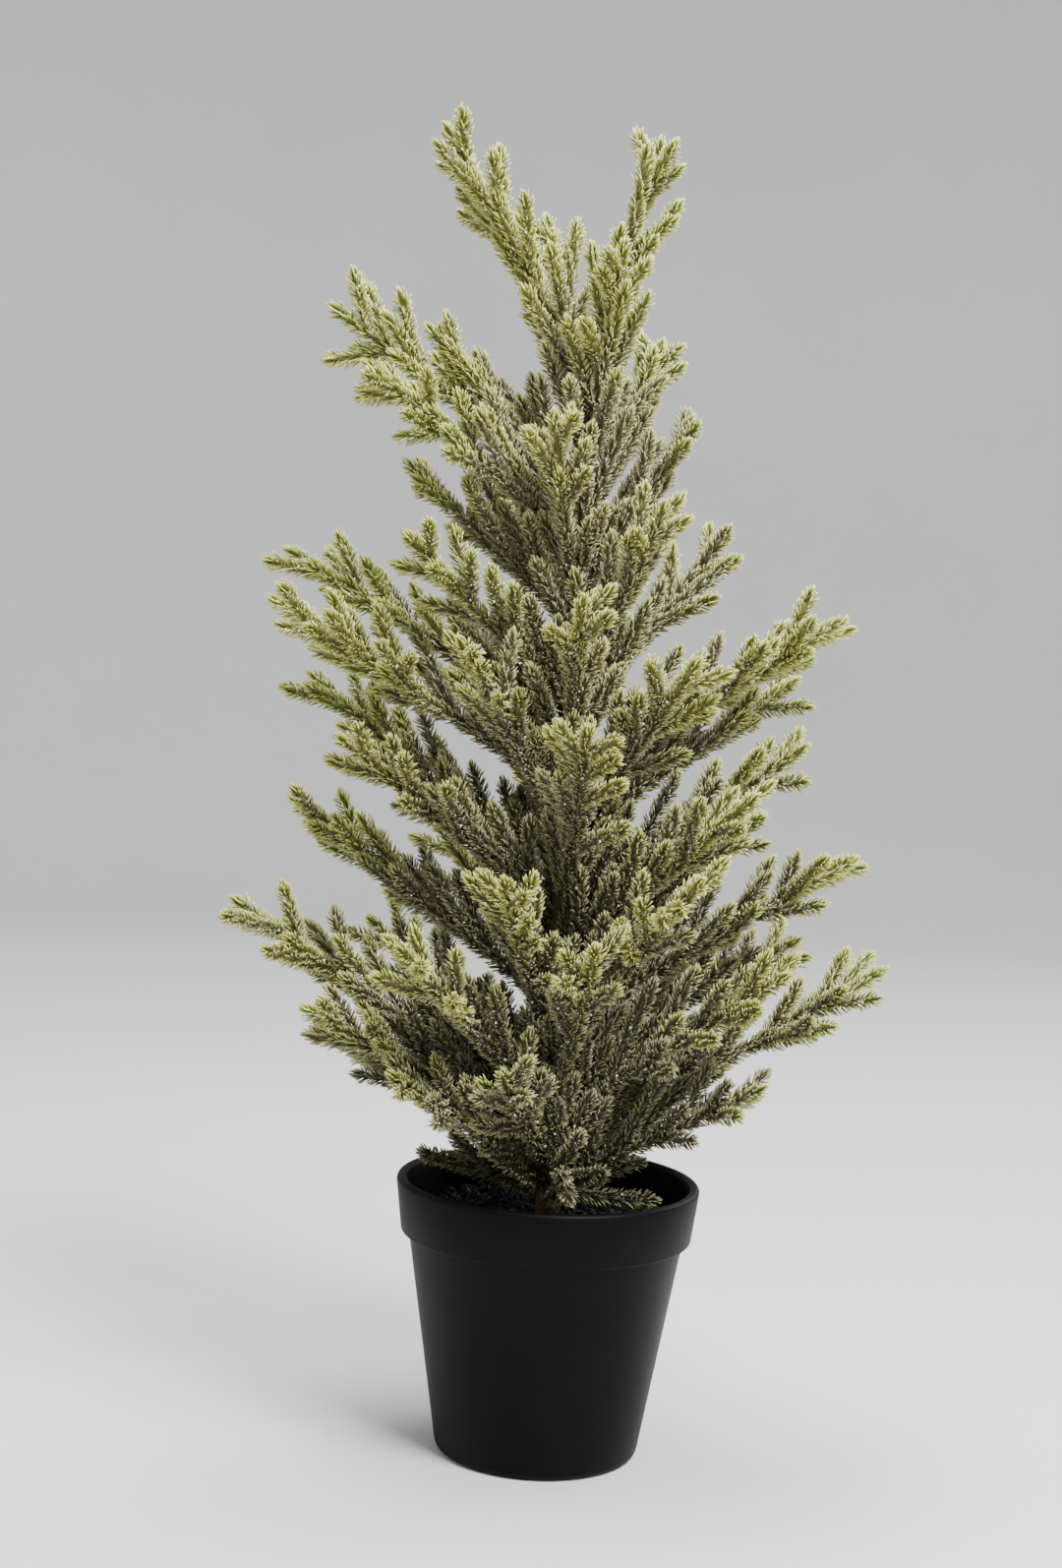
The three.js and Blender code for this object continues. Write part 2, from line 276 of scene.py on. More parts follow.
def needle_material(colours):
    """Pressed plastic needles: painted shade inside and low down, sage in the crown, fresh outside, pale frosted
    ends.
    """
    shader = Shader("pressed_needles")
    # The meshes carry these: share of the way along a twig, share of the way up a needle, and a
    # chance value for each needle and for each twig.
    along = shader.attribute("along")
    end = shader.attribute("needle_end")
    tint = shader.attribute("tint")
    tone = shader.attribute("tone")
    # How far outside in the crown: it is flatter from front to back, narrows upwards above 20 cm,
    # and its top counts as outside.
    x, y, z = shader.axes()
    reach = (x * x + 2.1 * y * y).math("SQRT")
    crown = 0.165 - 0.2 * (z - 0.2).math("MAXIMUM", 0)
    top = z.between(0.44, 0.55)
    outside = (reach / crown + tone * 0.34 + top * 0.42 - 0.17).between(0.25, 0.85)
    height = z.between(0.12, 0.42)
    low = 1 - height
    # From sage to fresh outwards, and painted shade low down, near the trunk and at a needle's foot.
    fresh = (outside * 0.62 + along * 0.4 + height * 0.26 - 0.38).between(0.0, 0.75)
    green = shader.mix(fresh, colours.sage, colours.fresh)
    foot = (1 - end).between(0.3, 1)
    shaded = (1 - outside) * (0.14 + 0.34 * low) + low * 0.1 + foot * 0.64
    body = shader.mix(shaded.between(0, 1), green, colours.shade_and_dark_tint)
    # White powder on the older needles and frost on the ends of the fresh ones.
    powder = shader.noise(900, 3).between(0.47, 0.66) * (1 - fresh * 0.75)
    dusted = shader.mix(powder * (0.36 - 0.14 * low), body, colours.powder)
    frost = end.between(0.5, 1.0) * (0.38 + 0.26 * tint) * (0.3 + 0.7 * fresh)
    frosted = shader.mix(frost, dusted, colours.frosted)
    # A darker tint on some needles at random, in the same colour as the painted shade.
    uneven = shader.mix(tint.between(0.5, 1) * 0.16, frosted, colours.shade_and_dark_tint)
    grain = shader.noise(2600, 2)
    return shader.finish(
        Base_Color=uneven,
        Roughness=0.56 + 0.3 * powder,
        Normal=shader.bump(grain, 0.35, 0.15 * MM),
    )


def bark_material(colours):
    """Brown paper tape, wound round and round, with a paler edge to every turn."""
    shader = Shader("winding_tape")
    tape_width = 9 * MM
    x, y, z = shader.axes()
    turn = y.math("ARCTAN2", x) * (1 / FULL_TURN)
    winding = (z / tape_width + turn).math("FRACT")
    edge = winding.between(0.86, 1.0)
    fibres = shader.noise(700, 4)
    pale = shader.mix(edge * 0.6, colours.bark, (0.21, 0.15, 0.09))
    # Fibre mottling, and painted shade that darkens the tape towards the soil.
    grime_and_shade = fibres.between(0.35, 0.7) * 0.5 + 0.5 * (1 - z.between(0.11, 0.19))
    mottled = shader.mix(grime_and_shade, pale, (0.035, 0.026, 0.016))
    relief = edge * 0.7 + fibres * 0.3
    return shader.finish(
        Base_Color=mottled,
        Roughness=0.78 + 0.15 * fibres,
        Normal=shader.bump(relief, 0.7, 0.4 * MM),
    )


def glitter_material():
    """White glossy flakes."""
    shader = Shader("frost_glitter")
    sparkle = shader.noise(1500, 1)
    shade = shader.mix(sparkle, (0.95, 0.96, 0.98), (0.82, 0.84, 0.86))
    return shader.finish(Base_Color=shade, Roughness=0.16 + 0.12 * sparkle)


def pot_material(pot):
    """Black moulded plastic with a fine matte grain."""
    shader = Shader("moulded_black")
    z = shader.axes()[2]
    grain = shader.noise(1400, 3, 0.6)
    clouds = shader.noise(22, 3)
    scuffs = shader.noise(160, 5, 0.7).between(0.62, 0.8)
    low = 1 - z.between(0.0, 0.035)
    dusty = (scuffs * 0.28 + low * 0.22 * clouds).between(0, 1)
    tinted = shader.mix(dusty, pot.plastic, (0.011, 0.0105, 0.0105))
    worn = shader.mix(clouds.between(0.4, 0.75) * 0.3, tinted, (0.005, 0.0046, 0.005))
    return shader.finish(
        Base_Color=worn,
        Roughness=0.47 + 0.12 * clouds + 0.14 * scuffs,
        Normal=shader.bump(grain + clouds * 0.4, 0.16, 0.12 * MM),
        Specular_IOR_Level=0.08,
    )


def soil_material(soil):
    """Black dyed crumbs, dull with a few wet-looking glints."""
    shader = Shader("black_crumbs")
    tint = shader.attribute("tint")
    grain = shader.noise(900, 4, 0.65)
    dry = shader.mix(tint.between(0.55, 1) * 0.6, soil.black, (0.034, 0.028, 0.023))
    mottled = shader.mix(grain.between(0.4, 0.7) * 0.45, dry, (0.003, 0.0028, 0.0025))
    glint = 0.34 + 0.5 * shader.cells(420).between(0.05, 0.4)
    return shader.finish(
        Base_Color=mottled, Roughness=glint, Normal=shader.bump(grain, 0.8, 0.5 * MM)
    )


def cement_material():
    """Grey cast cement with small pits."""
    shader = Shader("cast_cement")
    pits = shader.cells(260).between(0.0, 0.25)
    clouds = shader.noise(45, 5)
    grey = shader.mix(clouds, (0.36, 0.35, 0.33), (0.48, 0.47, 0.44))
    pitted = shader.mix(1 - pits, grey, (0.2, 0.19, 0.18))
    return shader.finish(
        Base_Color=pitted, Roughness=0.9 - 0.1 * clouds, Normal=shader.bump(pits, 0.6, 0.6 * MM)
    )


def steel_material():
    """Bare wire, with streaks along it from drawing."""
    shader = Shader("drawn_steel")
    x, y, z = shader.axes()
    drawn = shader.node("CombineXYZ", {}, {0: x * 40, 1: y * 40, 2: z})
    streaks = shader.noise(90, 4, 0.6, drawn)
    grey = shader.mix(streaks, (0.42, 0.42, 0.43), (0.58, 0.58, 0.58))
    return shader.finish(
        Base_Color=grey,
        Metallic=1.0,
        Roughness=0.28 + 0.2 * streaks,
        Normal=shader.bump(streaks, 0.25, 0.05 * MM),
    )


def floor_material(studio):
    """Pale matte board."""
    shader = Shader("pale_floor")
    clouds = shader.noise(6, 4)
    pale = shader.mix(clouds * 0.25, studio.floor, (0.5, 0.49, 0.48))
    return shader.finish(Base_Color=pale, Roughness=0.55 + 0.1 * clouds)


# ---- pieces: helpers ----


def piece(name, mesh, materials, body, replaced):
    """Makes an object of a mesh, riding on a body, in place of a node where one is named."""
    made = bpy.data.objects.new(name, mesh)
    bpy.context.scene.collection.objects.link(made)
    for material in materials:
        mesh.materials.append(material)
    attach(made, body)
    if replaced:
        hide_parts(replaced)
    return made


def finished_mesh(bm, name, smooth=True):
    """Turns a bmesh into a mesh and frees it."""
    mesh = bpy.data.meshes.new(name)
    for face in bm.faces:
        face.smooth = smooth
    bm.to_mesh(mesh)
    bm.free()
    return mesh


def repaint(node, material):
    """Gives a node that keeps its own shape a better material."""
    mesh = frame["nodes"][node].data
    mesh.materials.clear()
    mesh.materials.append(material)


def merged_copy(node):
    """A node's shape, with its loose triangles joined."""
    bm = bmesh.new()
    bm.from_mesh(frame["nodes"][node].data)
    bmesh.ops.remove_doubles(bm, verts=bm.verts, dist=DOUBLES)
    return bm


def add_mesh(bm, mesh, matrix):
    """Adds a placed copy of a mesh and returns the number of its first corner."""
    first = len(bm.verts)
    copy = mesh.copy()
    copy.transform(matrix)
    bm.from_mesh(copy)
    bpy.data.meshes.remove(copy)
    return first


def mark(bm, first, name, value):
    """Writes a value on every corner from the numbered one on."""
    layer = bm.verts.layers.float.get(name) or bm.verts.layers.float.new(name)
    bm.verts.ensure_lookup_table()
    for vert in bm.verts[first:]:
        vert[layer] = value(vert) if callable(value) else value


# ---- pot ----


class TREE_OT_pot(bpy.types.Operator):
    """Make the tapered pot with its collar and rounded rim"""

    bl_idname = "tree.pot"
    bl_label = "Pot"

    def execute(self, context):
        pot = context.scene.tree_pot
        mesh = self.turned_again("pot", pot)
        made = piece("moulded_pot", mesh, [pot_material(pot)], TRUNK_BODY, "pot")
        bevel = made.modifiers.new("edges", "BEVEL")
        bevel.width = pot.rounding
        bevel.segments = 3
        bevel.limit_method = "ANGLE"
        bevel.angle_limit = math.radians(24)
        return {"FINISHED"}

    def turned_again(self, node, pot):
        """The node's own outline, turned with more steps."""
        bm = merged_copy(node)
        nil = DOUBLES / 2
        off = [vert for vert in bm.verts if abs(vert.co.x) > nil or vert.co.y > nil]
        bmesh.ops.delete(bm, geom=off, context="VERTS")
        bmesh.ops.delete(bm, geom=bm.faces[:], context="FACES_KEEP_BOUNDARY")
        outline = bm.verts[:] + bm.edges[:]
        bmesh.ops.spin(
            bm,
            geom=outline,
            cent=(0, 0, 0),
            axis=(0, 0, 1),
            angle=FULL_TURN,
            steps=pot.steps,
            use_merge=True,
        )
        bmesh.ops.remove_doubles(bm, verts=bm.verts, dist=DOUBLES)
        bmesh.ops.recalc_face_normals(bm, faces=bm.faces)
        return finished_mesh(bm, node)


# ---- hidden pieces and the trunk ----


class TREE_OT_core(bpy.types.Operator):
    """Finish the ballast, the trunk rod and the tape wound round it"""

    bl_idname = "tree.core"
    bl_label = "Ballast and trunk"

    def execute(self, context):
        repaint("cement_ballast", cement_material())
        repaint("trunk_rod", steel_material())
        repaint("trunk_tape", bark_material(context.scene.tree_colours))
        return {"FINISHED"}


# ---- soil ----


class TREE_OT_soil(bpy.types.Operator):
    """Make the layer of black crumbs inside the rim"""

    bl_idname = "tree.soil"
    bl_label = "Soil"

    shapes = 7
    sizes = (0.45, 0.6, 0.8, 1.0, 1.35)  # of a middling crumb

    def execute(self, context):
        soil = context.scene.tree_soil
        rng = random.Random(soil.seed)
        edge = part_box("soil_cover")[1]
        bm = self.bed(soil, edge.z, rng)
        crumbs = [self.crumb_mesh(soil, rng) for _ in range(self.shapes)]
        for _ in range(soil.crumbs):
            # The square root spreads them evenly over the round bed.
            reach = (edge.x - soil.crumb / 2) * math.sqrt(rng.uniform(0.02, 1))
            turn = rng.uniform(0, FULL_TURN)
            sunk = rng.uniform(-0.3, 0.35) * soil.crumb
            spot = Vector((reach * math.cos(turn), reach * math.sin(turn), edge.z + sunk))
            size = rng.choice(self.sizes)
            aim = Quaternion([rng.gauss(0, 1) for _ in range(4)]).normalized()
            matrix = Matrix.LocRotScale(spot, aim, Vector((size, size, size)))
            added = add_mesh(bm, rng.choice(crumbs), matrix)
            mark(bm, added, "tint", rng.random())
        mesh = finished_mesh(bm, "soil_crumbs", smooth=False)
        material = soil_material(soil)
        piece("soil_crumbs", mesh, [material], TRUNK_BODY, "soil_cover")
        return {"FINISHED"}

    def bed(self, soil, top, rng):
        """The solid layer under the loose crumbs, with a lumpy top."""
        bm = merged_copy("soil_cover")
        bmesh.ops.subdivide_edges(bm, edges=bm.edges[:], cuts=3, use_grid_fill=True)
        for vert in bm.verts:
            if vert.co.z > top - 0.8 * MM:
                vert.co.z += rng.uniform(-1, 0.3) * soil.relief
        mark(bm, 0, "tint", 0.2)
        return bm

    def crumb_mesh(self, soil, rng):
        """An uneven, flattened lump."""
        bm = bmesh.new()
        bmesh.ops.create_icosphere(bm, subdivisions=1, radius=soil.crumb / 2)
        for vert in bm.verts:
            vert.co *= rng.uniform(0.62, 1.15)
        bmesh.ops.scale(bm, verts=bm.verts, vec=(1, rng.uniform(0.6, 1), rng.uniform(0.5, 0.8)))
        mark(bm, 0, "tint", 0.5)
        return finished_mesh(bm, "crumb", smooth=False)


# ---- needles ----


class NeedleKit:
    """The meshes that every twig is put together from: stretches of needles and end tufts."""

    run_shapes = 6
    tuft_shapes = 5
    tuft_whorls = 5
    waist = 0.72  # where a needle is widest, as a share of its length
    foot = 0.75  # a needle's width at its foot, as a share of its widest part
    scatter = 6  # degrees that a needle's lean varies by

    def __init__(self, size, wire, rng):
        self.size = size
        self.wire = wire
        self.rng = rng
        self.needle = self.needle_mesh()
        self.flake = self.flake_mesh()
        self.runs = [self.run_mesh() for _ in range(self.run_shapes)]
        self.tufts = [self.tuft_mesh() for _ in range(self.tuft_shapes)]

    def needle_mesh(self):
        """One needle along +Z: narrow foot, widest near its end, which curls towards -X."""
        tall = self.size.needle_length
        half = self.size.needle_width / 2
        bm = bmesh.new()
        bmesh.ops.create_cone(bm, cap_ends=True, segments=3, radius1=half * self.foot, depth=tall)
        bmesh.ops.translate(bm, verts=bm.verts, vec=(0, 0, tall / 2))
        whole = bm.verts[:] + bm.edges[:] + bm.faces[:]
        middle = Vector((0, 0, tall * self.waist))
        cut = bmesh.ops.bisect_plane(bm, geom=whole, plane_co=middle, plane_no=(0, 0, 1))
        ring = [part for part in cut["geom_cut"] if isinstance(part, bmesh.types.BMVert)]
        widen = half / ring[0].co.xy.length
        bmesh.ops.scale(bm, verts=ring, vec=(widen, widen, 1))
        bend = math.tan(self.size.curl) * tall / 2
        mark(bm, 0, "needle_end", lambda vert: vert.co.z / tall)
        for vert in bm.verts:
            vert.co.x -= bend * (vert.co.z / tall) ** 2
        return finished_mesh(bm, "needle")

    def flake_mesh(self):
        """A thin plate with five sides."""
        half = self.size.flake / 2
        bm = bmesh.new()
        bmesh.ops.create_cone(
            bm, cap_ends=True, segments=5, radius1=half, radius2=half * 0.7, depth=half * 0.3
        )
        mark(bm, 0, "needle_end", 0.5)
        for face in bm.faces:
            face.material_index = 1
        return finished_mesh(bm, "flake", smooth=False)

    def add_needle(self, bm, height, turn, spread, scale):
        """A needle on the twig's skin, leaning out from it."""
        rng = self.rng
        lean = spread + math.radians(rng.gauss(0, self.scatter))
        stance = Matrix.Rotation(turn, 4, "Z") @ Matrix.Translation((self.wire * 0.3, 0, height))
        long = scale * rng.uniform(0.86, 1.12)
        shape = Matrix.Diagonal((1, 1, long, 1))
        added = add_mesh(bm, self.needle, stance @ Matrix.Rotation(lean, 4, "Y") @ shape)
        mark(bm, added, "tint", rng.random())

    def add_wire(self, bm, tall, narrow):
        """The twig's own stem, with shut ends."""
        first = len(bm.verts)
        bmesh.ops.create_cone(
            bm,
            cap_ends=True,
            segments=6,
            radius1=self.wire / 2,
            radius2=self.wire / 2 * narrow,
            depth=tall,
            matrix=Matrix.Translation((0, 0, tall / 2)),
        )
        mark(bm, first, "needle_end", 0.0)
        mark(bm, first, "tint", 0.3)

    def run_mesh(self):
        """A stretch of needles in whorls, each turned from the one before it."""
        size, rng = self.size, self.rng
        bm = bmesh.new()
        self.add_wire(bm, size.run, 1.0)
        whorls = round(size.run / size.spacing)
        for whorl in range(whorls):
            for place in range(size.per_whorl):
                turn = FULL_TURN * (place + rng.uniform(-0.16, 0.16)) / size.per_whorl
                height = (whorl + 0.5 + rng.uniform(-0.3, 0.3)) * size.spacing
                self.add_needle(bm, height, turn + whorl * GOLDEN_TURN, size.spread, 1.0)
        for _ in range(size.flakes):
            self.add_flake(bm, rng.uniform(0, size.run))
        return finished_mesh(bm, "run")

    def add_flake(self, bm, height):
        """A glitter flake among the needles' outer halves."""
        rng = self.rng
        reach = rng.uniform(0.5, 0.85) * self.size.needle_length
        turn = Matrix.Rotation(rng.uniform(0, FULL_TURN), 4, "Z")
        spot = turn @ Matrix.Translation((reach, 0, height))
        aim = Quaternion([rng.gauss(0, 1) for _ in range(4)]).normalized().to_matrix().to_4x4()
        mark(bm, add_mesh(bm, self.flake, spot @ aim), "tint", 1.0)

    def tuft_mesh(self):
        """The end of a twig: whorls that close up into a brush."""
        size, rng = self.size, self.rng
        bm = bmesh.new()
        tall = self.tuft_length()
        self.add_wire(bm, tall * 0.7, 0.4)
        for whorl in range(self.tuft_whorls):
            part = whorl / (self.tuft_whorls - 1)
            height = part * tall * 0.62
            spread = size.spread * (1 - 0.8 * part)
            shorter = 1 - 0.25 * part
            for place in range(size.per_whorl):
                turn = FULL_TURN * (place + rng.uniform(-0.2, 0.2)) / size.per_whorl
                self.add_needle(bm, height, turn + whorl * GOLDEN_TURN, spread, shorter)
        return finished_mesh(bm, "tuft")

    def tuft_length(self):
        return 1.25 * self.size.needle_length


# ---- branches ----


def tips_of(node):
    """Every pointed end of a branch's solid, with the way that it points."""
    bm = merged_copy(node)
    found = []
    for vert in bm.verts:
        if sum(loop.calc_angle() for loop in vert.link_loops) < math.radians(200):
            ring = [edge.other_vert(vert).co for edge in vert.link_edges]
            middle = sum(ring, Vector()) / len(ring)
            found.append((vert.co.copy(), (vert.co - middle).normalized()))
    bm.free()
    return found


def members_of(node, root):
    """A branch's stem and its side sprigs, each from its start to its end."""
    tips = tips_of(node)
    stem_tip = max(tips, key=lambda tip: (tip[0] - root).normalized().dot(tip[1]))[0]
    sprigs = []
    for tip, way in tips:
        if tip != stem_tip:
            start = intersect_line_line(root, stem_tip, tip, tip - way)[0]
            sprigs.append((start, tip))
    return stem_tip, sprigs


class SprigMaker:
    """Collects needle-covered sprigs into one mesh."""

    # The highest corners of what the sprigs grow from or must clear.
    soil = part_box("soil_cover")[1]
    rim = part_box("pot")[1]
    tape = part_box("trunk_tape")[1]
    over_soil = 6 * MM
    over_rim = 8 * MM
    full_sway = 60 * MM  # twigs shorter than this sway less

    def __init__(self, kit, size, rng):
        self.kit = kit
        self.size = size
        self.rng = rng
        self.bm = bmesh.new()
        self.marks = {"along": [], "tone": []}

    def mesh(self, name):
        """All sprigs so far as one mesh, with the values noted for its corners."""
        mesh = finished_mesh(self.bm, name)
        for key, values in self.marks.items():
            mesh.attributes.new(key, "FLOAT", "POINT").data.foreach_set("value", values)
        return mesh

    def mark_new(self, first, along, tone):
        """Notes the values for the corners from the numbered one on."""
        new = len(self.bm.verts) - first
        self.marks["along"] += [along] * new
        self.marks["tone"] += [tone] * new

    def add_twig(self, start, end):
        """Stretches of needles laid end to end on a slight curve, closed by a tuft."""
        rng, kit = self.rng, self.kit
        span = (end - start).length
        tuft = kit.tuft_length()
        needled = max(span - tuft, 1 * MM)
        steps = max(1, round(needled / kit.size.run))
        bulge = (end - start).orthogonal().normalized() * rng.uniform(0.2, 1) * self.size.sway
        bulge.rotate(Quaternion((end - start).normalized(), rng.uniform(0, FULL_TURN)))
        bulge *= min(1, span / self.full_sway)
        tone = rng.random()

        def at(part):
            return start.lerp(end, part) + bulge * 4 * part * (1 - part)

        for step in range(steps + 1):
            low = step * needled / steps / span
            high = min(1, (step + 1) * needled / steps / span)
            here = at(low)
            aim = (at(high) - here if step < steps else end - here).to_track_quat("Z", "Y")
            aim @= Quaternion((0, 0, 1), rng.uniform(0, FULL_TURN))
            stretch = needled / steps / kit.size.run if step < steps else 1
            matrix = Matrix.LocRotScale(here, aim, Vector((1, 1, stretch)))
            mesh = rng.choice(kit.runs if step < steps else kit.tufts)
            first = add_mesh(self.bm, mesh, matrix)
            self.mark_new(first, (low + high) / 2, tone)

    def clear_of_pot(self, end):
        """False where a twig would reach into the soil or the pot's rim, or hang beside it."""
        inside = end.xy.length < self.soil.x - self.over_soil
        floor = self.soil.z + self.over_soil if inside else self.rim.z + self.over_rim
        return end.z > floor

    def add_filler(self, start, way, long):
        """A twig from a start along a way, unless it would touch the pot or the soil."""
        end = start + way.normalized() * long
        if self.clear_of_pot(end):
            self.add_twig(start, end)

    def add_trunk_sprigs(self, low, high, pitch, long, rise):
        """Sprigs all round a stretch of the trunk, rising at an angle in the given range."""
        rng = self.rng
        for index in range(int((high - low) / pitch)):
            height = low + (index + rng.random()) * pitch
            turn = index * GOLDEN_TURN + rng.uniform(-0.3, 0.3)
            outward, way = self.rising(turn, math.radians(rng.uniform(*rise)))
            start = outward * self.tape.x * 0.75 + Vector((0, 0, height))
            self.add_filler(start, way, long * rng.uniform(0.65, 1.05))

    def rising(self, turn, lean):
        """The level way out from the trunk, and that way raised by a lean."""
        outward = Vector((math.cos(turn), math.sin(turn), 0))
        return outward, outward * math.cos(lean) + Vector((0, 0, math.sin(lean)))


class BranchMaker(SprigMaker):
    """Covers one branch's stem and sprigs with needles, and adds the sprigs between them."""

    steep = 0.75  # rise of a stem, from 0 level to 1 upright, that makes it a steep one
    inner_fan = 66  # degrees to each side that the upright sprigs at a root spread
    inner_lean = (52, 72)  # degrees that they rise at
    foot_sunk = 2.4 * MM  # how far a branch's foot sinks into the trunk's tape

    def cover(self, node, root):
        """Makes the whole branch of a node that is hinged at its root."""
        self.root = root
        tip, sprigs = members_of(node, root)
        stem = tip - root
        along = stem.normalized()
        self.add_foot(along)
        self.add_twig(root + along * self.size.bare, tip)
        for start, end in sprigs:
            self.add_twig(start, end)
            self.add_side_twig(start, end)
        self.add_inner_sprigs(stem)
        self.fill_stem(stem)

    def add_foot(self, along):
        """The taped wire between the trunk and the first needles."""
        tall = self.size.bare + self.foot_sunk + 2 * MM
        aim = along.to_track_quat("Z", "Y").to_matrix().to_4x4()
        middle = self.root + along * (tall / 2 - self.foot_sunk)
        made = bmesh.ops.create_cone(
            self.bm,
            cap_ends=True,
            segments=12,
            radius1=self.size.wire * 0.62,
            radius2=self.size.wire * 0.5,
            depth=tall,
            matrix=Matrix.Translation(middle) @ aim,
        )
        for face in {face for vert in made["verts"] for face in vert.link_faces}:
            face.material_index = 2
        self.mark_new(0, 0.0, 0.5)

    def add_inner_sprigs(self, stem):
        """Upright sprigs at the root, fanned out round the trunk, which hide it."""
        size, rng = self.size, self.rng
        heading = math.atan2(stem.y, stem.x)
        sprigs = size.inner if stem.normalized().z < self.steep else size.inner - 2
        for index in range(sprigs):
            fan = math.radians(self.inner_fan) * (2 * (index + 0.5) / sprigs - 1)
            fan += rng.uniform(-0.25, 0.25)
            way = self.rising(heading + fan, math.radians(rng.uniform(*self.inner_lean)))[1]
            start = self.root + stem.normalized() * (size.bare + rng.uniform(-1, 7) * MM)
            self.add_filler(start, way, size.inner_length * rng.uniform(0.7, 1.1))

    def fill_stem(self, stem):
        """Extra sprigs on a stem, above and beside it; those at its root stand up by the trunk."""
        size, rng = self.size, self.rng
        along = stem.normalized()
        rise = max(0, along.z)
        up = Vector((0, 0, 1))
        upright = up + 0.5 * Vector((along.x, along.y, 0)).normalized()
        lift = (up - along * along.z).normalized()
        # A level stem has none below it. An upright one has them all round, and further apart.
        around = math.radians(125 + 55 * abs(along.z) ** 2)
        pitch = size.side_pitch * (1 + 0.9 * rise**6)
        first, last = size.bare + 6 * MM, (0.74 + 0.12 * rise) * stem.length
        sprigs = int((last - first) / pitch)
        for index in range(sprigs):
            part = (index + rng.uniform(0.2, 0.8)) / sprigs
            start = self.root + along * (first + part * (last - first))
            lean = size.side_angle + math.radians(rng.gauss(0, 6))
            turn = around * (2 * (index * GOLDEN_SHARE % 1) - 1) + rng.uniform(-0.2, 0.2)
            side = Quaternion(along, turn) @ lift
            way = along * math.cos(lean) + side * math.sin(lean)
            way = way.lerp(upright, 0.8 * max(0, 1 - part / 0.85))
            long = size.side_length * (1.1 - 0.5 * part) * rng.uniform(0.75, 1.1)
            left = stem.length - (start - self.root).length
            self.add_filler(start, way, min(long, stem.length * 0.7, left * 1.1))

    def add_side_twig(self, start, end):
        """A small twig on the lower half of a long sprig."""
        size, rng = self.size, self.rng
        sprig = end - start
        if sprig.length > size.inner_length * 0.85:
            side = sprig.orthogonal().normalized()
            side.rotate(Quaternion(sprig.normalized(), rng.uniform(0, FULL_TURN)))
            side.z = abs(side.z)
            way = sprig.normalized() + side * math.tan(size.side_angle)
            long = size.twig_length * rng.uniform(0.8, 1.15)
            self.add_filler(start.lerp(end, rng.uniform(0.25, 0.5)), way, long)


class TREE_OT_branches(bpy.types.Operator):
    """Cover every branch of the frame with needles and small twigs"""

    bl_idname = "tree.branches"
    bl_label = "Branches"

    # Degrees that the trunk's own sprigs rise at, least and most.
    skirt_rise = (1, 34)
    trunk_rise = (50, 72)
    crown_rise = (44, 70)

    def execute(self, context):
        scene = context.scene
        size = scene.tree_branches
        kit = NeedleKit(scene.tree_needles, size.wire, random.Random(size.seed))
        colours = scene.tree_colours
        finishes = [needle_material(colours), glitter_material(), bark_material(colours)]
        bodies = frame["record"]["behaviour"]["bodies"]
        for index, joint in enumerate(frame["joints"]):
            body = joint["child"]
            node = bodies[body][0]
            maker = BranchMaker(kit, size, random.Random(size.seed + index))
            maker.cover(node, Vector(joint["pos_m"]))
            piece(node + "_needles", maker.mesh(node), finishes, body, node)
        mesh = self.trunk_mesh(kit, size)
        piece("trunk_sprigs", mesh, finishes, TRUNK_BODY, None)
        return {"FINISHED"}

    def trunk_mesh(self, kit, size):
        """The trunk's own sprigs: flat ones over the soil, then upright ones to its top."""
        maker = SprigMaker(kit, size, random.Random(size.seed))
        low, high = maker.soil.z + 4 * MM, maker.tape.z - 8 * MM
        middle, crown = low + size.basal_height, high - size.crown_height
        long = size.inner_length
        for stretch in (
            (low + 2 * MM, low + 16 * MM, size.skirt_pitch, long, self.skirt_rise),
            (low, middle, size.basal_pitch, long, self.trunk_rise),
            (middle, crown, size.trunk_pitch, long, self.trunk_rise),
            (crown, high, size.crown_pitch, long * 1.3, self.crown_rise),
        ):
            maker.add_trunk_sprigs(*stretch)
        return maker.mesh("trunk_sprigs")


# ---- stage ----


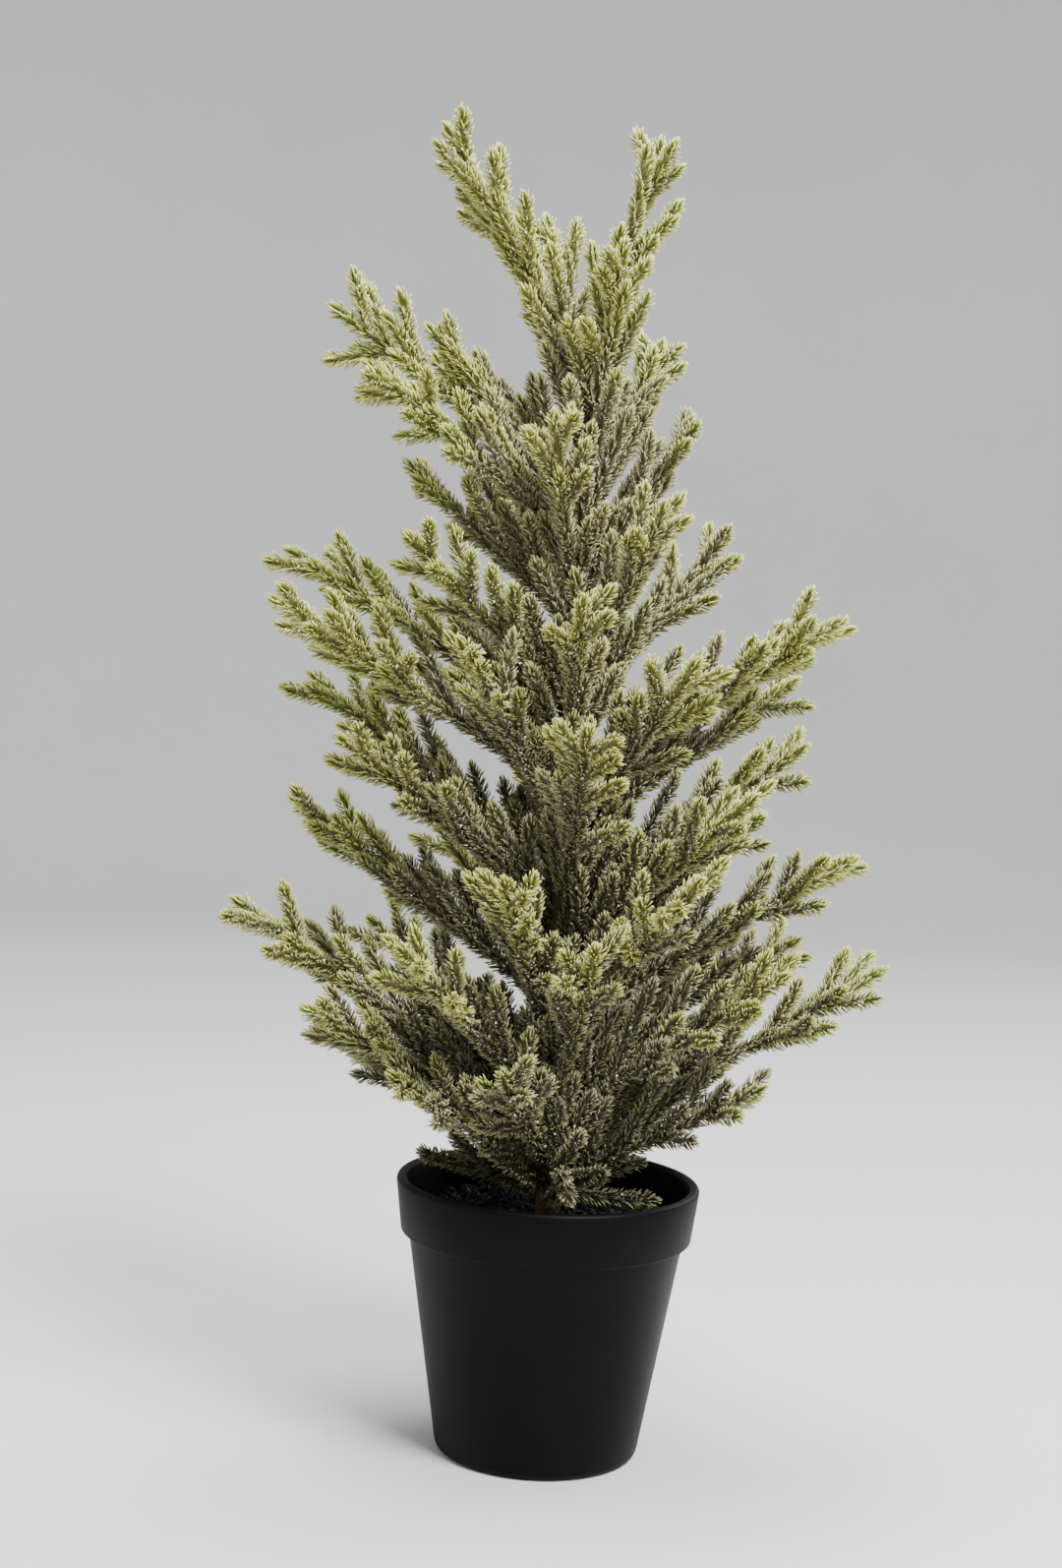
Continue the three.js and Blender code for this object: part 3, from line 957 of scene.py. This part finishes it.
class TREE_OT_stage(bpy.types.Operator):
    """Set up the floor, the studio lights and the camera"""

    bl_idname = "tree.stage"
    bl_label = "Studio"

    lights = (  # name, place, what it points at, width and height, watts
        ("overhead", (-0.1, 0.1, 1.75), (0, 0, 0.4), (0.8, 0.6), 44),
        ("window_left", (-1.7, -0.5, 1.0), (0, 0, 0.35), (0.9, 1.2), 5),
        ("back_right", (1.4, 1.3, 1.1), (0, 0, 0.35), (0.9, 0.9), 20),
        ("front_key", (0.75, -1.0, 1.75), (0, 0, 0.4), (0.75, 0.65), 104),
    )

    def execute(self, context):
        studio = context.scene.tree_studio
        self.make_floor(studio)
        self.make_world(context.scene, studio)
        for light in self.lights:
            self.add_light(*light)
        self.aim_camera(context.scene, studio)
        return {"FINISHED"}

    def make_floor(self, studio):
        """A round floor whose edge sweeps up into a wall all round."""
        bm = bmesh.new()
        bmesh.ops.create_circle(bm, cap_ends=True, segments=96, radius=studio.floor_reach)
        raised = bmesh.ops.extrude_edge_only(bm, edges=bm.edges[:])["geom"]
        top = [part for part in raised if isinstance(part, bmesh.types.BMVert)]
        bmesh.ops.translate(bm, verts=top, vec=(0, 0, studio.wall))
        corner = [edge for edge in bm.edges if all(vert.co.z < 1 * MM for vert in edge.verts)]
        bmesh.ops.bevel(
            bm, geom=corner, offset=studio.sweep, segments=24, profile=0.5, affect="EDGES"
        )
        flat = max(bm.faces, key=lambda face: face.calc_area())
        bmesh.ops.inset_region(bm, faces=[flat], thickness=studio.sweep / 4)
        floor = bpy.data.objects.new("floor", finished_mesh(bm, "floor"))
        bpy.context.scene.collection.objects.link(floor)
        floor.data.materials.append(floor_material(studio))

    def make_world(self, scene, studio):
        world = bpy.data.worlds.new("studio_air")
        world.use_nodes = True
        air = world.node_tree.nodes["Background"]
        air.inputs["Color"].default_value = (*studio.air, 1)
        air.inputs["Strength"].default_value = studio.air_strength
        scene.world = world

    def add_light(self, name, place, target, size, power):
        light = bpy.data.lights.new(name, "AREA")
        light.shape = "RECTANGLE"
        light.size, light.size_y = size
        light.energy = power
        made = bpy.data.objects.new(name, light)
        made.location = place
        aim = Vector(target) - Vector(place)
        made.rotation_euler = aim.to_track_quat("-Z", "Y").to_euler()
        bpy.context.scene.collection.objects.link(made)

    def aim_camera(self, scene, studio):
        camera = bpy.data.cameras.new("view")
        camera.lens = studio.lens
        made = bpy.data.objects.new("view", camera)
        level = Matrix.Rotation(math.radians(90) + studio.pitch, 4, "X")
        turned = Matrix.Rotation(-studio.yaw, 4, "Z") @ level
        rolled = turned @ Matrix.Rotation(studio.roll, 4, "Z")
        made.matrix_world = Matrix.Translation((0, -studio.distance, studio.height)) @ rolled
        scene.collection.objects.link(made)
        scene.camera = made


# ---- panel and registration ----


class TREE_PT_panel(bpy.types.Panel):
    """Buttons for every operator, then every setting"""

    bl_idname = "TREE_PT_panel"
    bl_label = "Tabletop Tree"
    bl_space_type = "VIEW_3D"
    bl_region_type = "UI"
    bl_category = "Tabletop Tree"

    def draw(self, context):
        for operator in OPERATORS:
            self.layout.operator(operator.bl_idname)
        for name in SETTINGS:
            box = self.layout.box()
            group = getattr(context.scene, name)
            for key in group.__annotations__:
                box.prop(group, key)


OPERATORS = (TREE_OT_pot, TREE_OT_core, TREE_OT_soil, TREE_OT_branches, TREE_OT_stage)
SETTINGS = {
    "tree_needles": NeedleSettings,
    "tree_branches": BranchSettings,
    "tree_colours": NeedleColours,
    "tree_pot": PotSettings,
    "tree_soil": SoilSettings,
    "tree_studio": StudioSettings,
}


def register():
    for group in SETTINGS.values():
        bpy.utils.register_class(group)
    for name, group in SETTINGS.items():
        setattr(bpy.types.Scene, name, bpy.props.PointerProperty(type=group))
    for operator in OPERATORS:
        bpy.utils.register_class(operator)
    bpy.utils.register_class(TREE_PT_panel)


def unregister():
    bpy.utils.unregister_class(TREE_PT_panel)
    for operator in OPERATORS:
        bpy.utils.unregister_class(operator)
    for name, group in SETTINGS.items():
        delattr(bpy.types.Scene, name)
        bpy.utils.unregister_class(group)


def main():
    """Makes the whole tree."""
    register()
    bpy.ops.tree.stage()
    bpy.ops.tree.pot()
    bpy.ops.tree.core()
    bpy.ops.tree.soil()
    bpy.ops.tree.branches()


if __name__ == "__main__":
    main()
